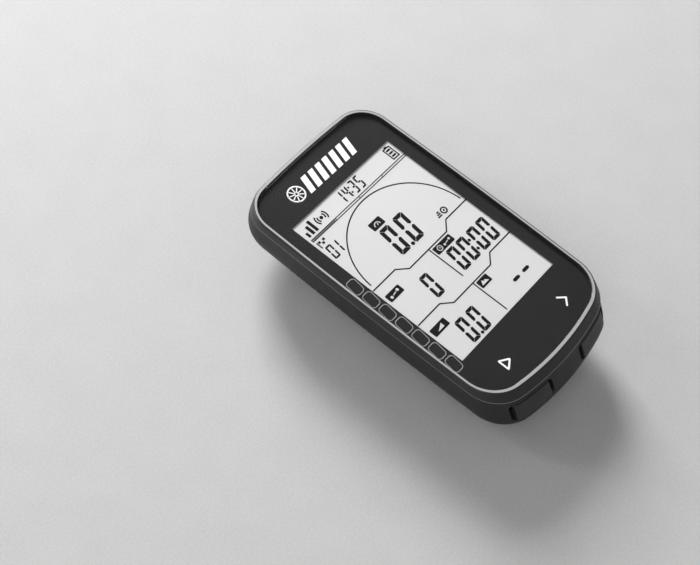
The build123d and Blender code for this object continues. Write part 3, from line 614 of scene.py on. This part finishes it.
def dividerLoops(settings):
    loops = []
    edge, outer, inner = settings["dividerKnees"]
    for high, low in settings["dividers"]:
        points = [(-edge, high), (-outer, high), (-inner, low), (inner, low), (outer, high), (edge, high)]
        loops += stroke(points, settings["line"])
    left = settings["middleX"] - settings["line"] / 2
    loops += [box(left, left + settings["line"], low, high) for low, high in settings["middleLines"]]
    return loops


statusSettings = {
    "mast": (-11.45, 23.8),
    "mastRadius": 0.52,
    "waveRadii": (1.12, 1.85),
    "waveStarts": (-0.75, pi - 0.75),  # each wave's first angle
    "waveTurn": 0.25,
    "waveSteps": 7,
    "waveLine": 0.42,
    "battery": (15.6, 17.8, 21.95, 25.6),
    "batteryLine": 0.36,
    "batteryCap": (16.2, 17.2, 25.75, 26.1),
    "batteryBars": (22.5, 23.5, 24.5),
    "barHeight": 0.55,
    "barInset": 0.4,
}


def statusLoops(display, settings):
    # Signal bars, a mast with two waves on each side, and the battery with its cap and three bars.
    loops = [box(left, right, display["signalBase"], top) for left, right, top in display["signal"]]
    x, y = settings["mast"]
    loops.append(ringPoints(x, y, settings["mastRadius"]))
    for radius in settings["waveRadii"]:
        for start in settings["waveStarts"]:
            angles = [start + settings["waveTurn"] * step for step in range(settings["waveSteps"])]
            arc = [(x + radius * cos(angle), y + radius * sin(angle)) for angle in angles]
            loops += stroke(arc, settings["waveLine"])
    left, right, bottom, top = settings["battery"]
    loops += stroke(box(left, right, bottom, top), settings["batteryLine"], closed=True)
    loops.append(box(*settings["batteryCap"]))
    inset = settings["barInset"]
    loops += [box(left + inset, right - inset, y, y + settings["barHeight"]) for y in settings["batteryBars"]]
    return loops


def progressLoops(settings):
    left, right, low, high = settings["progress"]
    gap, line = settings["progressGap"], settings["progressLine"]
    marks = [left, *settings["progressMarks"], right]
    loops = []
    for start, end in zip(marks, marks[1:]):
        loops.append(box(start + gap, end - gap, high - line, high))
        loops.append(box(start + gap, end - gap, low, low + line))
    loops += [box(x - line / 2, x + line / 2, low, high) for x in marks]
    return loops


def progressFill(settings):
    left, _, low, high = settings["progress"]
    inset = settings["progressLine"] + settings["progressFillGap"]
    return [box(left + inset, settings["progressMarks"][0] - inset, low + inset, high - inset)]


def figureLoops(settings):
    loops = []
    for group, span, line in settings["figures"]:
        bottom, top = settings[span]
        for figure, left, right in settings[group]:
            loops += digit(figure, left, right, bottom, top, line)
    loops += [ringPoints(x, y, radius, settings["dotSteps"]) for x, y, radius in settings["dots"]]
    half = settings["dashHeight"] / 2
    for left, right, middle in settings["dashes"]:
        loops.append([
            (left, middle), (left + half, middle + half), (right - half, middle + half),
            (right, middle), (right - half, middle - half), (left + half, middle - half),
        ])
    return loops


# Small pictures that stand for what each field shows, drawn in a box two high and centred.
pictureSettings = {
    "gaugeRadius": 0.95,
    "gaugeBase": -0.5,
    "gaugeSteps": 8,
    "gaugeLine": 0.28,
    "needle": [(0, -0.55), (0.32, 0.05)],
    "needleLine": 0.26,
    "routeEnds": [(-1.3, -0.25), (1.3, 0.25)],
    "routeEndRadius": 0.42,
    "route": [(-0.65, -0.12), (0.65, 0.12)],
    "routeLine": 0.28,
    "watchRadius": 0.72,
    "watchLine": 0.24,
    "hands": [(0, 0.3), (0, -0.05), (0.3, -0.05)],
    "handLine": 0.2,
    "watchPlace": (-1.5, 0),
    "besideWatch": (1.3, 0, 0.8),  # place and scale of the route there
    "slope": [(-1.2, -0.6), (1.2, -0.6), (1.2, 0.65)],
    "peaks": [(-1.3, -0.6), (-0.45, 0.65), (0.05, -0.05), (0.42, 0.35), (1.3, -0.6)],
}


def gaugeLoops(settings):
    radius, base, steps = settings["gaugeRadius"], settings["gaugeBase"], settings["gaugeSteps"]
    angles = [step * pi / steps for step in range(steps + 1)]
    arc = [(radius * cos(angle), base + radius * sin(angle)) for angle in angles]
    return stroke(arc, settings["gaugeLine"]) + stroke(settings["needle"], settings["needleLine"])


def routeLoops(settings):
    ends = [ringPoints(x, y, settings["routeEndRadius"]) for x, y in settings["routeEnds"]]
    return ends + stroke(settings["route"], settings["routeLine"])


def watchLoops(settings):
    watch = stroke(ringPoints(0, 0, settings["watchRadius"]), settings["watchLine"], closed=True)
    watch += stroke(settings["hands"], settings["handLine"])
    route = moved(routeLoops(settings), *settings["besideWatch"])
    return moved(watch, *settings["watchPlace"]) + route


def slopeLoops(settings):
    return [settings["slope"]]


def peakLoops(settings):
    return [settings["peaks"]]


badgeSettings = {
    "corner": 0.35,
    "fields": [
        # left, right, bottom and top of each badge, and its picture
        ((-5.2, -0.95, 11.45, 14.0), gaugeLoops),
        ((-18.4, -13.3, -4.35, -2.0), routeLoops),
        ((0.7, 7.35, -4.35, -2.0), watchLoops),
        ((-18.4, -12.9, -18.25, -15.85), slopeLoops),
        ((0.7, 4.6, -18.25, -15.85), peakLoops),
    ],
}


def badgeLoops(settings):
    loops = []
    for (left, right, bottom, top), picture in settings["fields"]:
        loops.append(box(left, right, bottom, top, settings["corner"]))
        loops += moved(picture(pictureSettings), (left + right) / 2, (bottom + top) / 2)
    return loops


markSettings = {
    "flag": (-16.75, 18.75),
    "flagScale": 1.2,
    "flagPole": (-1.35, -1.05, -0.85, 0.85),
    "flagChecks": [(-0.95, 0.25), (0.35, 0.25), (-0.30, -0.35)],
    "checkSize": (0.62, 0.56),
    "wheel": (12.3, 3.1),
    "wheelRadius": 0.85,
    "wheelLine": 0.40,
    "axleRadius": 0.3,
    "axleSteps": 14,
    "speedLines": [(9.4, 2.35), (9.75, 2.95), (10.1, 3.55)],
    "speedLineEnd": 10.9,
    "speedLineHeight": 0.4,
}


def markLoops(settings):
    # A checked flag above the lap count, and a wheel with speed lines beside the speed.
    x, y = settings["wheel"]
    end, height = settings["speedLineEnd"], settings["speedLineHeight"]
    wide, high = settings["checkSize"]
    flag = [box(*settings["flagPole"])]
    flag += [box(left, left + wide, low, low + high) for left, low in settings["flagChecks"]]
    loops = moved(flag, *settings["flag"], settings["flagScale"])
    loops += stroke(ringPoints(x, y, settings["wheelRadius"]), settings["wheelLine"], closed=True)
    loops.append(ringPoints(x, y, settings["axleRadius"], settings["axleSteps"]))
    return loops + [box(left, end, low, low + height) for left, low in settings["speedLines"]]


def beside(centre, x, y):
    return centre + Vector((x, y, 0)) * mm


filmLow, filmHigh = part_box("lcd_polarizer")
windowCentre = (filmLow + filmHigh) / 2
artworkCentre = beside(windowCentre, displaySettings["shift"], 0)
artworkZ = filmHigh.z + displaySettings["lift"] * mm


def displayPiece(name, loops, finish=segmentInk):
    flatPiece(name, loops, artworkCentre, artworkZ, displaySettings["height"], finish)


displayPiece("displayFigures", figureLoops(displaySettings))
displayPiece("displayStatus", statusLoops(displaySettings, statusSettings))
displayPiece("displayProgress", progressLoops(displaySettings))
displayPiece("displayProgressFill", progressFill(displaySettings), halfInk)
displayPiece("displayDividers", dividerLoops(displaySettings))
displayPiece("displayBadges", badgeLoops(badgeSettings))
displayPiece("displayMarks", markLoops(markSettings))

print("stage: node-built artwork")


def startTree(name, inputs):
    # A node tree with named inputs, and the two ends that every tree here has.
    tree = bpy.data.node_groups.new(name, "GeometryNodeTree")
    tree.interface.new_socket("Geometry", in_out="INPUT", socket_type="NodeSocketGeometry")
    for label, value in inputs.items():
        kind = "NodeSocketInt" if isinstance(value, int) else "NodeSocketFloat"
        tree.interface.new_socket(label, in_out="INPUT", socket_type=kind).default_value = value
    tree.interface.new_socket("Geometry", in_out="OUTPUT", socket_type="NodeSocketGeometry")
    return tree, tree.nodes.new("NodeGroupInput").outputs


def endTree(tree, geometry, finish):
    real = tree.nodes.new("GeometryNodeRealizeInstances")
    paint = tree.nodes.new("GeometryNodeSetMaterial")
    paint.inputs["Material"].default_value = finish
    tree.links.new(geometry, real.inputs["Geometry"])
    tree.links.new(real.outputs["Geometry"], paint.inputs["Geometry"])
    tree.links.new(paint.outputs["Geometry"], tree.nodes.new("NodeGroupOutput").inputs["Geometry"])


def treePiece(name, tree, values, centre, bottom, finish):
    holder = bpy.data.objects.new(name + "Holder", bpy.data.meshes.new(name + "Holder"))
    scene.collection.objects.link(holder)
    modifier = holder.modifiers.new(name, "NODES")
    modifier.node_group = tree
    for item in tree.interface.items_tree:
        if item.in_out == "INPUT" and item.name in values:
            modifier[item.identifier] = values[item.name]
    mesh = evaluatedMesh(holder)
    mesh.transform(Matrix.Scale(mm, 4))
    mesh.transform(Matrix.Translation((centre.x, centre.y, bottom)))
    return addPiece(name, cleaned(mesh), finish)


def combine(tree, x=None, y=None, z=None):
    node = tree.nodes.new("ShaderNodeCombineXYZ")
    for value, socket in ((x, node.inputs[0]), (y, node.inputs[1]), (z, node.inputs[2])):
        if isinstance(value, (int, float)):
            socket.default_value = value
        elif value is not None:
            tree.links.new(value, socket)
    return node.outputs[0]


def calculate(tree, operation, first, second):
    node = tree.nodes.new("ShaderNodeMath")
    node.operation = operation
    for value, socket in ((first, node.inputs[0]), (second, node.inputs[1])):
        if isinstance(value, (int, float)):
            socket.default_value = value
        else:
            tree.links.new(value, socket)
    return node.outputs[0]


def flatSweep(tree, given, path, caps=False):
    # A flat line that follows the path.
    upright = tree.nodes.new("GeometryNodeSetCurveNormal")
    upright.mode = "Z_UP"
    tree.links.new(path, upright.inputs["Curve"])
    section = tree.nodes.new("GeometryNodeCurvePrimitiveQuadrilateral")
    tree.links.new(given["Line"], section.inputs["Width"])
    tree.links.new(given["Height"], section.inputs["Height"])
    sweep = tree.nodes.new("GeometryNodeCurveToMesh")
    sweep.inputs["Fill Caps"].default_value = caps
    tree.links.new(upright.outputs["Curve"], sweep.inputs["Curve"])
    tree.links.new(section.outputs["Curve"], sweep.inputs["Profile Curve"])
    return sweep.outputs["Mesh"]


def copiesOn(tree, points, instance):
    copies = tree.nodes.new("GeometryNodeInstanceOnPoints")
    tree.links.new(points, copies.inputs["Points"])
    tree.links.new(instance, copies.inputs["Instance"])
    return copies


def rowOf(tree, given, instance, step):
    # Copies in a straight row, one step apart.
    row = tree.nodes.new("GeometryNodeMeshLine")
    tree.links.new(given["Count"], row.inputs["Count"])
    tree.links.new(combine(tree, given["Start X"], given["Start Y"]), row.inputs["Start Location"])
    tree.links.new(step, row.inputs["Offset"])
    return copiesOn(tree, row.outputs["Mesh"], instance).outputs["Instances"]


def dialTree(inputs, finish):
    # A flat line along an arc.
    tree, given = startTree("dialTree", inputs)
    arc = tree.nodes.new("GeometryNodeCurveArc")
    for socket in ("Resolution", "Radius", "Start Angle", "Sweep Angle"):
        tree.links.new(given[socket], arc.inputs[socket])
    endTree(tree, flatSweep(tree, given, arc.outputs["Curve"], caps=True), finish)
    return tree


def stripeTree(inputs, finish):
    # Slanted bars in a row.
    tree, given = startTree("stripeTree", inputs)
    bar = tree.nodes.new("GeometryNodeMeshCube")
    tree.links.new(combine(tree, given["Width"], given["Length"], given["Height"]), bar.inputs["Size"])
    place = tree.nodes.new("GeometryNodeInputPosition")
    parts = tree.nodes.new("ShaderNodeSeparateXYZ")
    tree.links.new(place.outputs["Position"], parts.inputs[0])
    lean = tree.nodes.new("GeometryNodeSetPosition")
    sideways = combine(tree, calculate(tree, "MULTIPLY", parts.outputs["Y"], given["Slant"]))
    tree.links.new(bar.outputs["Mesh"], lean.inputs["Geometry"])
    tree.links.new(sideways, lean.inputs["Offset"])
    endTree(tree, rowOf(tree, given, lean.outputs["Geometry"], combine(tree, given["Pitch"])), finish)
    return tree


def wheelTree(inputs, finish):
    # A wheel: rim, hub and spokes set round the hub.
    tree, given = startTree("wheelTree", inputs)
    join = tree.nodes.new("GeometryNodeJoinGeometry")
    for radius in ("Rim", "Hub"):
        circle = tree.nodes.new("GeometryNodeCurvePrimitiveCircle")
        tree.links.new(given["Facets"], circle.inputs["Resolution"])
        tree.links.new(given[radius], circle.inputs["Radius"])
        tree.links.new(flatSweep(tree, given, circle.outputs["Curve"]), join.inputs["Geometry"])
    bar = tree.nodes.new("GeometryNodeMeshCube")
    reach = calculate(tree, "SUBTRACT", given["Rim"], given["Hub"])
    tree.links.new(combine(tree, reach, given["Spoke"], given["Height"]), bar.inputs["Size"])
    points = tree.nodes.new("GeometryNodeMeshCircle")
    tree.links.new(given["Spokes"], points.inputs["Vertices"])
    middle = calculate(tree, "MULTIPLY", calculate(tree, "ADD", given["Rim"], given["Hub"]), 0.5)
    tree.links.new(middle, points.inputs["Radius"])
    index = tree.nodes.new("GeometryNodeInputIndex").outputs["Index"]
    turn = calculate(tree, "MULTIPLY", calculate(tree, "DIVIDE", index, given["Spokes"]), 2 * pi)
    copies = copiesOn(tree, points.outputs["Mesh"], bar.outputs["Mesh"])
    tree.links.new(combine(tree, z=turn), copies.inputs["Rotation"])
    tree.links.new(copies.outputs["Instances"], join.inputs["Geometry"])
    endTree(tree, join.outputs["Geometry"], finish)
    return tree


def chainTree(inputs, finish):
    # Rounded outlines in a row along the border.
    tree, given = startTree("chainTree", inputs)
    link = tree.nodes.new("GeometryNodeCurvePrimitiveQuadrilateral")
    link.mode = "PARALLELOGRAM"
    tree.links.new(given["Link Width"], link.inputs["Width"])
    tree.links.new(given["Link Length"], link.inputs["Height"])
    tree.links.new(given["Slant"], link.inputs["Offset"])
    soft = tree.nodes.new("GeometryNodeFilletCurve")
    soft.mode = "POLY"
    tree.links.new(given["Corner Steps"], soft.inputs["Count"])
    tree.links.new(given["Corner"], soft.inputs["Radius"])
    tree.links.new(link.outputs["Curve"], soft.inputs["Curve"])
    outline = flatSweep(tree, given, soft.outputs["Curve"])
    endTree(tree, rowOf(tree, given, outline, combine(tree, y=given["Pitch"])), finish)
    return tree


dialSettings = {
    "Resolution": 72, "Radius": 18.2, "Start Angle": radians(2.6), "Sweep Angle": radians(174.4),
    "Line": 0.36, "Height": displaySettings["height"],
}
dialPlace = (0.0, 1.42)
treePiece("displayDial", dialTree(dialSettings, segmentInk), dialSettings,
          beside(artworkCentre, *dialPlace), artworkZ + dialSettings["Height"] / 2 * mm,
          segmentInk)

# The print on the underside of the lens lies just inside the glass.
printSettings = {"lift": 0.012, "height": 0.03}
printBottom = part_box("front_lens")[0].z + printSettings["lift"] * mm
printMiddle = printBottom + printSettings["height"] / 2 * mm

wheelSettings = {
    "Rim": 2.3, "Hub": 0.55, "Line": 0.42, "Spoke": 0.26, "Spokes": 9, "Facets": 40,
    "Height": printSettings["height"],
}
wheelPlace = (-10.4, 32.6)
treePiece("lensWheelMark", wheelTree(wheelSettings, whiteInk), wheelSettings,
          beside(windowCentre, *wheelPlace), printMiddle, whiteInk)

stripeSettings = {
    "Count": 7, "Width": 1.75, "Length": 5.0, "Pitch": 2.75, "Slant": 0.32,
    "Start X": -5.9, "Start Y": 32.6, "Height": printSettings["height"],
}
treePiece("lensStripes", stripeTree(stripeSettings, whiteInk), stripeSettings, windowCentre, printMiddle,
          whiteInk)

chainSettings = {
    "Count": 7, "Link Width": 2.9, "Link Length": 4.3, "Slant": 0.55, "Corner": 0.9, "Line": 0.24,
    "Corner Steps": 5, "Pitch": -5.1, "Start X": -21.2, "Start Y": 4.8,
    "Height": printSettings["height"],
}
treePiece("lensSideMarks", chainTree(chainSettings, dimInk), chainSettings, windowCentre, printMiddle,
          dimInk)

keyMarkSettings = {
    "line": 0.48,
    "triangleSoft": (0.75, 0.15),
    "chevronSoft": 0.22,
    "triangle": [(-13.1, -33.25), (-10.6, -34.8), (-13.1, -36.35)],
    "chevron": [(11.5, -33.05), (13.35, -34.8), (11.5, -36.5)],
}


def keyMarkLoops(settings):
    sides = stroke(settings["triangle"], settings["line"], closed=True)
    loops = [rounded(loop, soft) for loop, soft in zip(sides, settings["triangleSoft"])]
    return loops + [rounded(stroke(settings["chevron"], settings["line"])[0], settings["chevronSoft"])]


flatPiece("lensKeyMarks", keyMarkLoops(keyMarkSettings), windowCentre, printBottom,
          printSettings["height"], whiteInk)

print("stage: border print")


borderSettings = {"drop": 0.01}


def makeBorder(settings):
    # The CAD border with its top let down a hair, so that it doesn't share a face with the lens.
    mesh = cleaned(nodes["lens_border"].data.copy())
    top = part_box("lens_border")[1].z
    drop = settings["drop"] * mm
    for vertex in mesh.vertices:
        if vertex.co.z > top - drop:
            vertex.co.z -= drop
    piece = addPiece("borderPrint", mesh, finishes["border_ink"])
    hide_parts("lens_border")


makeBorder(borderSettings)

print("stage: flap web")

webSettings = {"thickness": 0.22, "inset": 0.7, "overlap": 0.06, "columns": 10, "rows": 12}


def makeWeb(settings):
    # The thin rubber web that the flap bends at.
    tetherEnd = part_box("flap_tether")[1].x
    flapLow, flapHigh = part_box("charge_port_flap")
    hinge = next(joint for joint in frame["joints"] if joint["name"] == "flap_hinge")
    z = hinge["pos_m"][2]
    left = tetherEnd - settings["overlap"] * mm
    right = flapLow.x + settings["overlap"] * mm
    front = flapLow.y + settings["inset"] * mm
    back = flapHigh.y - settings["inset"] * mm
    work = bmesh.new()
    bmesh.ops.create_grid(work, x_segments=settings["columns"], y_segments=settings["rows"], size=0.5)
    for vertex in work.verts:
        across, along = vertex.co.x + 0.5, vertex.co.y + 0.5
        vertex.co = (left + across * (right - left), front + along * (back - front), z)
    mesh = bpy.data.meshes.new("flapWeb")
    bmesh.ops.solidify(work, geom=work.faces[:], thickness=settings["thickness"] * mm)
    bmesh.ops.recalc_face_normals(work, faces=work.faces)
    work.to_mesh(mesh)
    work.free()
    mesh.materials.append(finishes["flap_rubber"])
    web = bpy.data.objects.new("flapWeb", mesh)
    scene.collection.objects.link(web)
    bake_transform(web)


makeWeb(webSettings)

print("stage: floor")

floorSettings = {"size": 8.0, "dark": 0.425, "light": 0.445, "gloss": 0.8, "speck": 0.6}


def makeFloor(settings):
    work = bmesh.new()
    bmesh.ops.create_grid(work, x_segments=1, y_segments=1, size=settings["size"] / 2)
    mesh = bpy.data.meshes.new("studioFloor")
    work.to_mesh(mesh)
    work.free()
    mesh.transform(Matrix.Translation((0, 0, cadLow.z)))
    look = (settings["dark"], settings["light"], settings["gloss"], settings["speck"])
    mesh.materials.append(inkFinish("paleFloor", *look))
    floor = bpy.data.objects.new("studioFloor", mesh)
    scene.collection.objects.link(floor)


makeFloor(floorSettings)
